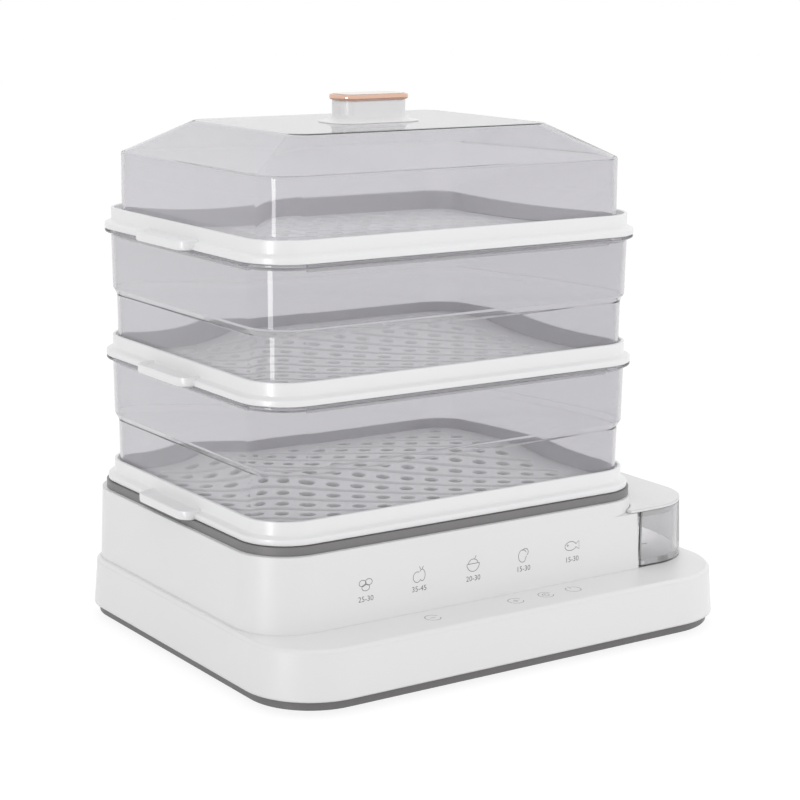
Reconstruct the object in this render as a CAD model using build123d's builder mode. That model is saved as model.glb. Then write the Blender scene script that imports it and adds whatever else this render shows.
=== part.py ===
"""Electric food steamer: a base with a basin, three perforated trays, clear wall rings and a clear lid.

Millimetres, +Z up. The origin is the middle of the base's outline, on the surface that the feet stand on.
The front with the touch marks faces -Y and the water box stands on the +X side. The tiers share one upright
axis, the stack axis, which is a little left of and behind the middle of the base.
"""

from build123d import *
from math import cos, radians, sin, tan
import os

# ---- Driving dimensions --------------------------------------------------------------------------------

# Fits
seat_gap = 0.3  # between pieces that lift off each other
side_gap = 0.3  # between the block and the pieces beside it
pin_gap = 0.1  # round a screw or tube in its hole

# Tiers: every ring and tray outline is the flange outline drawn in by some inset
flange_length = 315.0
flange_width = 249.6
flange_radius = 34.6
tier_pitch = 91.0

# Block under the tiers, measured where it meets the ledge
block_side_margin = 4.2  # past the flange outline
block_end_margin = 5.6
block_radius = 38.5
block_shift = -1.4  # its middle, from the stack axis

# Base outline round the block and the water box, and its levels
left_margin = 6.9
rear_margin = 3.7
front_ledge = 38.5
right_margin = 4.4
box_width = 49.3
front_left_radius = 49.0
front_right_radius = 55.0
rear_radius = 46.0
foot_height = 4.2
band_height = 6.5  # grey edge that shows under the white shell
ledge_top = 44.1
block_top = 95.3
shell_wall = 2.5
plinth_draft = 4.1  # degrees
block_draft = 1.9  # degrees
plinth_edge = 2.2  # chamfer

# Basin
rim_height = 5.8
rim_overhang = 1.3
basin_inset = 7.0
basin_wall = 2.4
basin_floor_z = 51.6
basin_floor = 2.4

# Tray
flange_height = 4.2
shoulder_height = 1.7
tray_height = 14.9
tray_wall_inset = 4.5
tray_wall = 2.4
tray_floor_height = 5.0
tray_floor = 2.0
lip_inset = 7.6
lip_depth = 6.0
lip_wall = 2.0
tab_reach = 9.9
tab_width = 69.0
tab_height = 6.5
tab_radius = 9.0
tab_shift = 3.0  # towards the rear
tab_recess = 1.2
tab_border = 3.0

# Tray floor pattern
hole_radius = 5.25
hole_sides = 6
hole_pitch = 52.2
row_pitch = 26.2
row_angle = -37.5  # degrees from the front edge
pattern_inset = 21.0

# Clear wall ring
ring_wall = 2.2
ring_rim_height = 1.7
ring_slope_height = 2.0
ring_upper_inset = 4.8
ring_step_drop = 42.0
ring_step_height = 5.0
ring_lower_inset = 8.2

# Lid
lid_wall = 2.2
lid_inset = 12.2
lid_shoulder_height = 48.4
roof_length = 208.0
roof_width = 147.6
roof_rise = 23.0
hip_radius = 25.0

# Knob
knob_length = 53.0
knob_width = 25.5
knob_radius = 9.0
knob_neck_height = 13.3
knob_foot_length = 76.0
knob_foot_width = 44.0
knob_foot_radius = 18.0
knob_foot_height = 2.2
knob_band_reach = 2.0
knob_band_height = 3.9
knob_top_inset = 0.6
knob_top_height = 0.4

# Water box beside the block
box_radius = 42.5
box_wall = 2.4
box_floor = 3.0
box_top = 84.8
window_reach = 12.6  # its front wall, past the block's side to the left
cover_reach = 20.3
cover_height = 2.0
tab_clearance = 1.0  # from the lowest tray's tab to the cover, which lifts past it
strip_front = -85.0  # from the stack axis
plug_depth = 3.7
port_z = 63.0
port_width = 16.0
port_height = 10.0
port_wall = 1.6
port_length = 14.0

# Heater in the middle of the basin floor
heater_hole_radius = 46.0
heater_plate_radius = 58.0
heater_plate_sides = 8
heater_plate_height = 3.0
element_length = 76.0
element_width = 60.0
element_bar = 7.0
thermostat_length = 20.0
thermostat_width = 14.0
thermostat_height = 6.0

# Bottom cover and what it carries
cover_inset = 3.8
vent_length = 34.0
vent_width = 4.0
vent_pitch = 9.0
vent_count = 4
vent_offset = 95.0
foot_size = 17.0
foot_corner = 4.0
foot_margin_x = 52.0  # from the base outline to the middle of a foot
foot_margin_y = 48.5
boss_size = 9.0
boss_gap = 1.5  # from the side wall
boss_spacing = 150.0
board_thickness = 1.6
power_board_length = 96.0
power_board_width = 62.0
post_size = 7.0
power_board_z = 14.0

# Touch keys and program marks
touch_xs = (-42.2, 26.4, 52.2, 76.3)  # from the stack axis
touch_margin = 21.9  # behind the base's front edge
touch_pad_size = 10.0
touch_pad_height = 3.0
touch_board_margin = 16.0
touch_board_width = 22.0
indicator_pitch = 43.0
indicator_count = 5
indicator_centre_x = 1.0  # from the stack axis
indicator_margin = 13.0
indicator_board_height = 26.0
indicator_board_z = 70.0

# Cord inlet, low in the rear wall
gland_margin = 80.0  # from the base's left end
gland_z = 27.0
gland_size = 11.0
gland_flange_size = 16.0
gland_flange_height = 1.3
gland_bore = 3.4
gland_bore_sides = 6
gland_recess = 0.8

# ---- Derived places ------------------------------------------------------------------------------------

block_length = flange_length + 2 * block_side_margin
block_width = flange_width + 2 * block_end_margin
block_right = block_length / 2 + block_shift  # from the stack axis
base_length = left_margin + block_length + box_width + right_margin
base_depth = front_ledge + block_width + rear_margin
stack_x = left_margin + block_length / 2 - block_shift - base_length / 2
stack_y = base_depth / 2 - rear_margin - block_width / 2
box_reach = block_right + box_width
window_left = block_right - window_reach
cover_left = block_right - cover_reach
cover_top = box_top + seat_gap + cover_height
strip_right = flange_length / 2 + tab_reach + tab_clearance
strip_length = strip_right - cover_left
strip_width = block_width / 2 - strip_front
touch_y = touch_margin - base_depth / 2 - stack_y
gland_x = gland_margin - base_length / 2
shell_bottom = foot_height + band_height
rim_top = block_top + rim_height
ledge_underside = ledge_top - shell_wall
plinth_lean = (ledge_top - shell_bottom) * tan(radians(plinth_draft))
boss_x = base_length / 2 - plinth_lean - shell_wall - boss_gap - boss_size / 2
block_lean = (block_top - ledge_top) * tan(radians(block_draft))
box_height = box_top - ledge_top
box_lean = box_height * tan(radians(block_draft))
tray_bottoms = [rim_top + seat_gap + tier_pitch * tier for tier in range(3)]
lid_seat = tray_bottoms[2] + tray_floor_height + seat_gap
lid_shoulder = lid_seat + lid_shoulder_height
roof_top = lid_shoulder + roof_rise


def stack_plane(height):
    """A level plane whose origin is on the stack axis."""
    return Plane((stack_x, stack_y, height))


def tier_outline(inset, mode=Mode.ADD):
    """The flange outline of the tiers, drawn in by inset."""
    RectangleRounded(flange_length - 2 * inset, flange_width - 2 * inset, flange_radius - inset, mode=mode)


def block_outline(inset, mode=Mode.ADD):
    """The outline of the block at the ledge, drawn in by inset."""
    with Locations((block_shift, 0)):
        RectangleRounded(block_length - 2 * inset, block_width - 2 * inset, block_radius - inset, mode=mode)


def plinth_outline(outline, inset):
    """The outline of the base, drawn in by inset, with its own radius at each front corner."""
    Rectangle(base_length - 2 * inset, base_depth - 2 * inset)
    fillet(outline.vertices().group_by(Axis.Y)[-1], rear_radius - inset)
    fillet(outline.vertices().group_by(Axis.Y)[0].sort_by(Axis.X)[0], front_left_radius - inset)
    fillet(outline.vertices().group_by(Axis.Y)[0].sort_by(Axis.X)[-1], front_right_radius - inset)


def side_outline(outer_inset, block_clearance, left_end):
    """The outline of what stands beside the block, from left_end to the right."""
    outer_length = 2 * (box_reach - outer_inset)
    RectangleRounded(outer_length, block_width - 2 * outer_inset, box_radius - outer_inset)
    block_outline(-block_clearance, mode=Mode.SUBTRACT)
    with Locations((left_end - box_reach, 0)):
        Rectangle(2 * box_reach, 2 * block_width, mode=Mode.SUBTRACT)


def finish(piece, name):
    """Labels a finished piece and writes it."""
    piece.label = name
    export_step(piece, f"parts/{name}.step")


os.makedirs("parts", exist_ok=True)

# ---- Base: the moulded white shell ---------------------------------------------------------------------

indicator_board_length = indicator_pitch * (indicator_count - 1) + 2 * indicator_margin
cavity_half_width = block_width / 2 - shell_wall - block_lean
indicator_board_y = -cavity_half_width
gland_seat = base_depth / 2 - (gland_z - shell_bottom) * tan(radians(plinth_draft)) - gland_recess
gland_inner = base_depth / 2 - shell_wall - plinth_lean

with BuildPart() as base_housing:
    with BuildSketch(Plane.XY.offset(shell_bottom)) as outline:
        plinth_outline(outline, 0)
    extrude(amount=ledge_top - shell_bottom, taper=plinth_draft)
    chamfer(base_housing.faces().sort_by(Axis.Z)[-1].edges(), plinth_edge)
    with BuildSketch(stack_plane(ledge_top)):
        block_outline(0)
    extrude(amount=block_top - ledge_top, taper=block_draft)
    # Shoulders that carry the block's front and rear walls on to the water box
    shoulder_inner = block_right - 2 * block_radius
    for side in (-1, 1):
        with BuildSketch(stack_plane(ledge_top)):
            with Locations(((shoulder_inner + window_left) / 2, side * block_width / 4)):
                Rectangle(window_left - shoulder_inner, block_width / 2)
        extrude(amount=box_height, taper=block_draft)
    # Hollow of the plinth and the block, and the opening that the basin hangs in
    with BuildSketch(Plane.XY.offset(shell_bottom)) as hollow:
        plinth_outline(hollow, shell_wall + plinth_lean)
    extrude(amount=ledge_underside - shell_bottom, mode=Mode.SUBTRACT)
    with BuildSketch(stack_plane(ledge_underside)):
        block_outline(shell_wall + block_lean)
    extrude(amount=block_top - ledge_top, mode=Mode.SUBTRACT)
    with BuildSketch(stack_plane(block_top - shell_wall)):
        tier_outline(basin_inset - basin_wall - side_gap)
    extrude(amount=shell_wall, mode=Mode.SUBTRACT)
    # Fixed strip between the block and the cover of the water box, under the tabs of the trays
    with BuildSketch(stack_plane(box_top)):
        side_outline(box_lean, -box_lean - shell_wall / 2, cover_left)
        with Locations((strip_right - seat_gap - strip_length, strip_front + seat_gap)):
            Rectangle(strip_length, strip_width, align=Align.MIN, mode=Mode.INTERSECT)
    extrude(amount=cover_top - box_top)
    # Hole for the duct between the water box and the basin
    with BuildSketch(stack_plane(port_z - port_height / 2 - pin_gap)):
        with Locations((block_right, 0)):
            Rectangle(4 * shell_wall, port_width + 2 * pin_gap)
    extrude(amount=port_height + 2 * pin_gap, mode=Mode.SUBTRACT)
    # Cord inlet with a flat seat for its grommet
    with BuildSketch(Plane((gland_x, gland_seat, gland_z), x_dir=(1, 0, 0), z_dir=(0, 1, 0))):
        Rectangle(gland_flange_size + 2 * pin_gap, gland_flange_size + 2 * pin_gap)
    extrude(amount=2 * shell_wall, mode=Mode.SUBTRACT)
    with BuildSketch(Plane((gland_x, gland_seat, gland_z), x_dir=(1, 0, 0), z_dir=(0, 1, 0))):
        Rectangle(gland_size + 2 * pin_gap, gland_size + 2 * pin_gap)
    extrude(amount=-3 * shell_wall, mode=Mode.SUBTRACT)
finish(base_housing.part, "base_housing")

# ---- Base: bottom cover and feet -----------------------------------------------------------------------

with BuildPart() as bottom_cover:
    with BuildSketch(Plane.XY.offset(foot_height)) as outline:
        plinth_outline(outline, cover_inset)
    extrude(amount=band_height)
    # Posts for the power board
    with BuildSketch(Plane.XY.offset(shell_bottom)):
        with GridLocations(power_board_length - post_size, power_board_width - post_size, 2, 2):
            Rectangle(post_size, post_size)
    extrude(amount=power_board_z - shell_bottom)
    # Screw posts up to the ledge
    with BuildSketch(Plane.XY.offset(shell_bottom)):
        with GridLocations(2 * boss_x, boss_spacing, 2, 2):
            Rectangle(boss_size, boss_size)
    extrude(amount=ledge_underside - shell_bottom)
    # Vents
    with BuildSketch(Plane.XY.offset(foot_height)):
        with GridLocations(2 * vent_offset, vent_pitch, 2, vent_count):
            Rectangle(vent_length, vent_width)
    extrude(amount=band_height, mode=Mode.SUBTRACT)
finish(bottom_cover.part, "bottom_cover")

with BuildPart() as rubber_feet:
    with BuildSketch(Plane.XY) as feet:
        with GridLocations(base_length - 2 * foot_margin_x, base_depth - 2 * foot_margin_y, 2, 2):
            Rectangle(foot_size, foot_size)
        chamfer(feet.vertices(), foot_corner)
    extrude(amount=foot_height)
finish(rubber_feet.part, "rubber_feet")

# ---- Base: basin ---------------------------------------------------------------------------------------

with BuildPart() as water_tank:
    with BuildSketch(stack_plane(block_top)):
        tier_outline(-rim_overhang)
    extrude(amount=rim_height)
    with BuildSketch(stack_plane(basin_floor_z)):
        tier_outline(basin_inset - basin_wall)
    extrude(amount=block_top - basin_floor_z)
    with BuildSketch(stack_plane(basin_floor_z + basin_floor)):
        tier_outline(basin_inset)
    extrude(amount=rim_top - basin_floor_z - basin_floor, mode=Mode.SUBTRACT)
    with BuildSketch(stack_plane(basin_floor_z)):
        RegularPolygon(heater_hole_radius, heater_plate_sides)
    extrude(amount=basin_floor, mode=Mode.SUBTRACT)
    with BuildSketch(stack_plane(port_z - port_height / 2 - pin_gap)):
        with Locations((flange_length / 2 - basin_inset, 0)):
            Rectangle(4 * basin_wall, port_width + 2 * pin_gap)
    extrude(amount=port_height + 2 * pin_gap, mode=Mode.SUBTRACT)
finish(water_tank.part, "water_tank")

# ---- Base: heater under the middle of the basin --------------------------------------------------------

plate_bottom = basin_floor_z - heater_plate_height

with BuildPart() as heating_plate:
    with BuildSketch(stack_plane(plate_bottom)):
        RegularPolygon(heater_plate_radius, heater_plate_sides)
    extrude(amount=heater_plate_height)
finish(heating_plate.part, "heating_plate")

with BuildPart() as heating_element:
    with BuildSketch(stack_plane(plate_bottom)):
        Rectangle(element_length, element_width)
        with Locations((element_bar, 0)):
            Rectangle(element_length, element_width - 2 * element_bar, mode=Mode.SUBTRACT)
    extrude(amount=-element_bar)
finish(heating_element.part, "heating_element")

with BuildPart() as thermostat:
    with BuildSketch(stack_plane(plate_bottom)):
        Rectangle(thermostat_length, thermostat_width)
    extrude(amount=-thermostat_height)
    with BuildSketch(stack_plane(plate_bottom - thermostat_height)):
        with GridLocations(thermostat_length / 2, 1, 2, 1):
            Rectangle(board_thickness, thermostat_width / 2)
    extrude(amount=-thermostat_height)
finish(thermostat.part, "thermostat")

# ---- Base: boards and cord inlet -----------------------------------------------------------------------

with BuildPart() as power_board:
    with BuildSketch(Plane.XY.offset(power_board_z)):
        Rectangle(power_board_length, power_board_width)
    extrude(amount=board_thickness)
    with BuildSketch(Plane.XY.offset(power_board_z + board_thickness)):
        with Locations((-power_board_length / 3, 0)):
            Rectangle(power_board_length / 4, power_board_width / 2)
        with Locations((power_board_length / 3, power_board_width / 5)):
            Rectangle(power_board_length / 5, power_board_width / 4)
    extrude(amount=power_board_width / 5)
finish(power_board.part, "power_board")

with BuildPart() as touch_pads:
    with BuildSketch(stack_plane(ledge_underside)):
        with Locations([(touch_x, touch_y) for touch_x in touch_xs]):
            Rectangle(touch_pad_size, touch_pad_size)
    extrude(amount=-touch_pad_height)
finish(touch_pads.part, "touch_pads")

with BuildPart() as touch_board:
    with BuildSketch(stack_plane(ledge_underside - touch_pad_height)):
        with Locations(((touch_xs[0] + touch_xs[-1]) / 2, touch_y)):
            Rectangle(touch_xs[-1] - touch_xs[0] + 2 * touch_board_margin, touch_board_width)
    extrude(amount=-board_thickness)
finish(touch_board.part, "touch_board")

with BuildPart() as indicator_board:
    with BuildSketch(stack_plane(indicator_board_z - indicator_board_height / 2)):
        with Locations((indicator_centre_x, indicator_board_y + board_thickness / 2)):
            Rectangle(indicator_board_length, board_thickness)
    extrude(amount=indicator_board_height)
finish(indicator_board.part, "indicator_board")

with BuildPart() as cord_gland:
    with BuildSketch(Plane((gland_x, gland_seat, gland_z), x_dir=(1, 0, 0), z_dir=(0, 1, 0))):
        Rectangle(gland_flange_size, gland_flange_size)
    extrude(amount=gland_flange_height)
    with BuildSketch(Plane((gland_x, gland_inner, gland_z), x_dir=(1, 0, 0), z_dir=(0, 1, 0))):
        Rectangle(gland_size, gland_size)
    extrude(amount=gland_seat - gland_inner)
    with BuildSketch(Plane((gland_x, gland_inner, gland_z), x_dir=(1, 0, 0), z_dir=(0, 1, 0))):
        RegularPolygon(gland_bore, gland_bore_sides)
    extrude(amount=gland_seat - gland_inner + gland_flange_height, mode=Mode.SUBTRACT)
finish(cord_gland.part, "cord_gland")

# ---- Water box with its cover --------------------------------------------------------------------------

box_left = window_left + side_gap
hollow_inset = box_wall + box_lean

with BuildPart() as water_box:
    with BuildSketch(stack_plane(ledge_top)):
        side_outline(0, side_gap, box_left)
    extrude(amount=box_height, taper=block_draft)
    with BuildSketch(stack_plane(ledge_top + box_floor)):
        side_outline(hollow_inset, side_gap + hollow_inset, box_left + hollow_inset)
    extrude(amount=box_height - box_floor, mode=Mode.SUBTRACT)
    with BuildSketch(stack_plane(port_z - port_height / 2 - pin_gap)):
        with Locations((block_right + box_wall, 0)):
            Rectangle(4 * box_wall, port_width + 2 * pin_gap)
    extrude(amount=port_height + 2 * pin_gap, mode=Mode.SUBTRACT)
finish(water_box.part, "water_box")

with BuildPart() as water_port:
    with BuildSketch(stack_plane(port_z - port_height / 2)):
        with Locations((flange_length / 2 - basin_inset + port_length / 2, 0)):
            Rectangle(port_length, port_width)
    extrude(amount=port_height)
    with BuildSketch(stack_plane(port_z - port_height / 2 + port_wall)):
        with Locations((flange_length / 2 - basin_inset + port_length / 2, 0)):
            Rectangle(port_length, port_width - 2 * port_wall)
    extrude(amount=port_height - 2 * port_wall, mode=Mode.SUBTRACT)
finish(water_port.part, "water_port")

plug_inset = hollow_inset + 2 * seat_gap

with BuildPart() as water_box_cover:
    with BuildSketch(stack_plane(box_top + seat_gap)):
        side_outline(box_lean, side_gap - box_lean, cover_left)
    extrude(amount=cover_height)
    with BuildSketch(stack_plane(box_top + seat_gap)):
        side_outline(plug_inset, side_gap + plug_inset, box_left + plug_inset)
    extrude(amount=-plug_depth)
    # Cut back beside the fixed strip
    with BuildSketch(stack_plane(cover_top)):
        with Locations((strip_right - strip_length, strip_front)):
            Rectangle(strip_length, strip_width, align=Align.MIN)
    extrude(amount=-cover_height - plug_depth, mode=Mode.SUBTRACT)
finish(water_box_cover.part, "water_box_cover")

# ---- Trays ---------------------------------------------------------------------------------------------

pattern_half_x = flange_length / 2 - pattern_inset
pattern_half_y = flange_width / 2 - pattern_inset
row_along = Vector(cos(radians(row_angle)), sin(radians(row_angle)))
row_across = Vector(-sin(radians(row_angle)), cos(radians(row_angle)))
row_reach = int((pattern_half_x + pattern_half_y) / row_pitch)
hole_reach = int((pattern_half_x + pattern_half_y) / hole_pitch)


def in_pattern(place):
    """Whether a whole hole at place lies inside the pattern's rounded outline."""
    corner_radius = flange_radius - pattern_inset
    over_x = abs(place.X) - (pattern_half_x - corner_radius)
    over_y = abs(place.Y) - (pattern_half_y - corner_radius)
    if over_x > 0 and over_y > 0:
        return Vector(over_x, over_y).length < corner_radius
    return abs(place.X) < pattern_half_x and abs(place.Y) < pattern_half_y


hole_places = []
for row in range(-row_reach, row_reach + 1):
    stagger = hole_pitch / 3 * (row % 3)
    for step in range(-hole_reach, hole_reach + 1):
        place = row_across * (row * row_pitch) + row_along * (step * hole_pitch + stagger)
        if in_pattern(place):
            hole_places.append((place.X, place.Y))


recess_length = tray_wall_inset + tab_reach - tab_border
recess_middle = flange_length / 2 - tray_wall_inset + recess_length / 2


def make_tray(bottom):
    """A tray whose flange rests at bottom, with ribs below, a perforated floor and two lifting tabs."""
    floor_top = bottom + tray_floor_height
    floor_underside = floor_top - tray_floor
    with BuildPart() as tray:
        # Tabs on the left and right
        with BuildSketch(stack_plane(bottom)):
            with Locations((0, tab_shift)):
                RectangleRounded(flange_length + 2 * tab_reach, tab_width, tab_radius)
        extrude(amount=tab_height)
        # Flange, sloping shoulder and wall
        with BuildSketch(stack_plane(bottom)):
            tier_outline(0)
        extrude(amount=flange_height)
        for height, inset in ((flange_height, 0), (flange_height + shoulder_height, tray_wall_inset)):
            with BuildSketch(stack_plane(bottom + height)):
                tier_outline(inset)
        loft(ruled=True)
        with BuildSketch(stack_plane(bottom + flange_height)):
            tier_outline(tray_wall_inset)
        extrude(amount=tray_height - flange_height)
        # A rib under each side that finds its place in the rim below
        with BuildSketch(stack_plane(bottom)):
            with GridLocations(flange_length - 2 * lip_inset - lip_wall, 1, 2, 1):
                Rectangle(lip_wall, flange_width - 2 * flange_radius)
            with GridLocations(1, flange_width - 2 * lip_inset - lip_wall, 1, 2):
                Rectangle(flange_length - 2 * flange_radius, lip_wall)
        extrude(amount=-lip_depth)
        # Recess in the top of each tab, from its border to the wall
        with BuildSketch(stack_plane(bottom + tab_height)):
            with Locations((-recess_middle, tab_shift), (recess_middle, tab_shift)):
                Rectangle(recess_length, tab_width - 4 * tab_border)
        extrude(amount=-tab_recess, mode=Mode.SUBTRACT)
        # Hollows above and below the floor
        with BuildSketch(stack_plane(floor_top)):
            tier_outline(tray_wall_inset + tray_wall)
        extrude(amount=tray_height - tray_floor_height, mode=Mode.SUBTRACT)
        with BuildSketch(stack_plane(floor_underside)):
            tier_outline(lip_inset + lip_wall)
        extrude(amount=bottom - floor_underside, mode=Mode.SUBTRACT)
        # Rows of steam holes
        with BuildSketch(stack_plane(floor_top)):
            with Locations(hole_places):
                RegularPolygon(hole_radius, hole_sides)
        extrude(amount=-tray_floor, mode=Mode.SUBTRACT)
    return tray.part


for tray_name, tray_bottom in zip(("tray_lower", "tray_middle", "tray_upper"), tray_bottoms):
    finish(make_tray(tray_bottom), tray_name)

# ---- Clear wall rings ----------------------------------------------------------------------------------


def make_ring(foot, top):
    """A clear ring from foot to top: a rim, an upper wall, a step in, and a lower wall that nests."""
    slope_bottom = top - ring_rim_height - ring_slope_height
    step_top = top - ring_step_drop
    step_bottom = step_top - ring_step_height
    with BuildPart() as ring:
        with BuildSketch(stack_plane(top)):
            tier_outline(0)
        extrude(amount=-ring_rim_height)
        for height, inset in ((top - ring_rim_height, 0), (slope_bottom, ring_upper_inset)):
            with BuildSketch(stack_plane(height)):
                tier_outline(inset)
        loft(ruled=True)
        with BuildSketch(stack_plane(slope_bottom)):
            tier_outline(ring_upper_inset)
        extrude(amount=step_top - slope_bottom)
        for height, inset in ((step_top, ring_upper_inset), (step_bottom, ring_lower_inset)):
            with BuildSketch(stack_plane(height)):
                tier_outline(inset)
        loft(ruled=True)
        with BuildSketch(stack_plane(step_bottom)):
            tier_outline(ring_lower_inset)
        extrude(amount=foot - step_bottom)
        # Inside, a wall's thickness in
        with BuildSketch(stack_plane(step_top)):
            tier_outline(ring_upper_inset + ring_wall)
        extrude(amount=ring_step_drop, mode=Mode.SUBTRACT)
        for height, inset in ((step_top, ring_upper_inset), (step_bottom, ring_lower_inset)):
            with BuildSketch(stack_plane(height)):
                tier_outline(inset + ring_wall)
        loft(ruled=True, mode=Mode.SUBTRACT)
        with BuildSketch(stack_plane(foot)):
            tier_outline(ring_lower_inset + ring_wall)
        extrude(amount=step_bottom - foot, mode=Mode.SUBTRACT)
    return ring.part


for ring_name, tier in (("wall_lower", 0), ("wall_middle", 1)):
    ring_foot = tray_bottoms[tier] + tray_floor_height + seat_gap
    finish(make_ring(ring_foot, tray_bottoms[tier + 1] - seat_gap), ring_name)

# ---- Lid -----------------------------------------------------------------------------------------------


def hipped_body(inset, bottom, shoulder, top, roof_inset):
    """Upright walls drawn in by inset under a hipped roof whose flat top is drawn in by roof_inset."""
    profiles = (
        (Plane.XZ, stack_x, flange_length / 2 - inset, roof_length / 2 - roof_inset),
        (Plane.YZ, stack_y, flange_width / 2 - inset, roof_width / 2 - roof_inset),
    )
    with BuildPart() as body:
        with BuildSketch(stack_plane(bottom)):
            tier_outline(inset)
        extrude(amount=top - bottom)
        for plane, middle, half_wall, half_roof in profiles:
            with BuildSketch(plane):
                with Locations((middle, 0)):
                    Polygon(
                        (-half_wall, bottom),
                        (half_wall, bottom),
                        (half_wall, shoulder),
                        (half_roof, top),
                        (-half_roof, top),
                        (-half_wall, shoulder),
                        align=None,
                    )
            extrude(amount=flange_length, both=True, mode=Mode.INTERSECT)
    return body.part


lid_outside = hipped_body(lid_inset, lid_seat, lid_shoulder, roof_top, 0)
lid_inside = hipped_body(lid_inset + lid_wall, lid_seat, lid_shoulder, roof_top - lid_wall, lid_wall)

with BuildPart() as lid_shell:
    add(lid_outside)
    fillet(
        lid_shell.edges().filter_by(GeomType.LINE).filter_by_position(Axis.Z, lid_shoulder, roof_top)
        .filter_by(lambda edge: abs(edge.tangent_at(0).Z) > 0.01 and abs(edge.tangent_at(0).Z) < 0.99),
        hip_radius,
    )
    add(lid_inside, mode=Mode.SUBTRACT)
finish(lid_shell.part, "lid_shell")

# ---- Knob ----------------------------------------------------------------------------------------------

foot_top = roof_top + knob_foot_height
neck_top = foot_top + knob_neck_height
band_top = neck_top + knob_band_height


def knob_outline(inset):
    """The outline of the knob's neck, drawn in by inset."""
    RectangleRounded(knob_length - 2 * inset, knob_width - 2 * inset, knob_radius - inset)


with BuildPart() as knob_base:
    with BuildSketch(stack_plane(roof_top)):
        RectangleRounded(knob_foot_length, knob_foot_width, knob_foot_radius)
    extrude(amount=knob_foot_height)
    with BuildSketch(stack_plane(foot_top)):
        knob_outline(0)
    extrude(amount=knob_neck_height)
finish(knob_base.part, "knob_base")

with BuildPart() as knob_band:
    with BuildSketch(stack_plane(neck_top)):
        knob_outline(-knob_band_reach)
    extrude(amount=knob_band_height)
finish(knob_band.part, "knob_band")

with BuildPart() as knob_top:
    with BuildSketch(stack_plane(band_top)):
        knob_outline(knob_top_inset)
    extrude(amount=knob_top_height)
finish(knob_top.part, "knob_top")
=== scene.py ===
"""Electric food steamer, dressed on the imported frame.

The script adds materials, fine shapes, printed marks, a floor, lamps and a camera. Shapes are given
in millimetres and become metres where a mesh is made. Their heights are above the surface that the
feet stand on, and their places across are measured from the stack axis, which every tier shares.
The studio's floor, lamps and camera are given in metres in the frame.
"""

import math

import bmesh
import bpy
from mathutils import Matrix, Vector


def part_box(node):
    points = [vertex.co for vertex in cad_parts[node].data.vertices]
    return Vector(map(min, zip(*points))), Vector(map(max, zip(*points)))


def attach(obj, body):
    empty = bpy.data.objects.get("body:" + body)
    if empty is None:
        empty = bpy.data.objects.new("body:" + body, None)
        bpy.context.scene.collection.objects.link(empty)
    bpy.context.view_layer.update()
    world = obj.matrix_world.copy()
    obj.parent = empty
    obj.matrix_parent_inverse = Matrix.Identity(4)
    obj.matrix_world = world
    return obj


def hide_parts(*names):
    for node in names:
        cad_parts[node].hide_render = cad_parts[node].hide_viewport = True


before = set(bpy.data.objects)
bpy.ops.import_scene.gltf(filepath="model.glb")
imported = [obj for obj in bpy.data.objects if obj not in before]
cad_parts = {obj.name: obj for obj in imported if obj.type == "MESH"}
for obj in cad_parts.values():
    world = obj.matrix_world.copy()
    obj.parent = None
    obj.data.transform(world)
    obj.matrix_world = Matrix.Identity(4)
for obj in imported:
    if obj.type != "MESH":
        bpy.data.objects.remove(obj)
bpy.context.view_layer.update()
scene = bpy.context.scene

MM = 0.001

# ---- Sizes shared by several pieces ----

STACK = Vector((-22.0, 17.4, 0.0))
FLANGE = (157.5, 124.8, 34.6)  # half length, half width and corner radius of the tiers' flange
LEDGE_TOP = 44.1
BLOCK_FRONT = 130.4  # from the stack axis to the foot of the block's front wall
BLOCK_DRAFT = math.radians(1.9)

TIERS = (("tray_lower", "lower_tray"), ("tray_middle", "middle_tray"), ("tray_upper", "upper_tray"))
WALLS = (("wall_lower", "lower_wall"), ("wall_middle", "middle_wall"))

# ---- Mesh helpers ----

QUARTERS = ((1, 1), (-1, 1), (-1, -1), (1, -1))  # the corners of a rectangle, anticlockwise
CORNER_STEPS = 12  # faces round a corner of a tier
SOFT_STEPS = 4  # faces round a softened edge
SOFT_SHARE = 0.45  # the most of a face that one softened edge takes
CAP_BORDER = 1.5  # width of the border round a flat end
HOLE_STEPS = 20
SLOT_STEPS = 8  # faces round each end of a slot
SHARP = 26  # degrees above which an edge stays sharp
CAD_SHARP = 30  # the same on the CAD nodes


def outline(half_x, half_y, radius, height):
    """Points of a rounded rectangle round the stack axis, anticlockwise from above, in metres."""
    points = []
    for quarter, (side_x, side_y) in enumerate(QUARTERS):
        centre = Vector((side_x * (half_x - radius), side_y * (half_y - radius), height))
        for step in range(CORNER_STEPS + 1):
            angle = math.radians(90 * (quarter + step / CORNER_STEPS))
            reach = Vector((math.cos(angle), math.sin(angle), 0)) * radius
            points.append((STACK + centre + reach) * MM)
    return points


def drawn_in(shape, inset, height):
    """A ring: a shape's half length, half width and corner radius, less inset, and its height."""
    half_x, half_y, radius = shape
    return (half_x - inset, half_y - inset, radius - inset, height)


def tier_ring(inset, height):
    """The ring of the tiers' flange drawn in by inset."""
    return drawn_in(FLANGE, inset, height)


def soften(rings, reach, closed=True):
    """The same path of rings, each corner replaced by a short curve that starts reach before it."""
    path = [Vector(ring) for ring in rings]
    soft = []
    for index, here in enumerate(path):
        if not closed and index in (0, len(path) - 1):
            soft.append(here)
            continue
        ends = []
        for other in (path[index - 1], path[(index + 1) % len(path)]):
            length = math.hypot(other[0] - here[0], other[3] - here[3])
            ends.append(here.lerp(other, min(reach / length, SOFT_SHARE)))
        for step in range(SOFT_STEPS + 1):
            t = step / SOFT_STEPS
            soft.append(ends[0].lerp(here, t).lerp(here.lerp(ends[1], t), t))
    return soft


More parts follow.
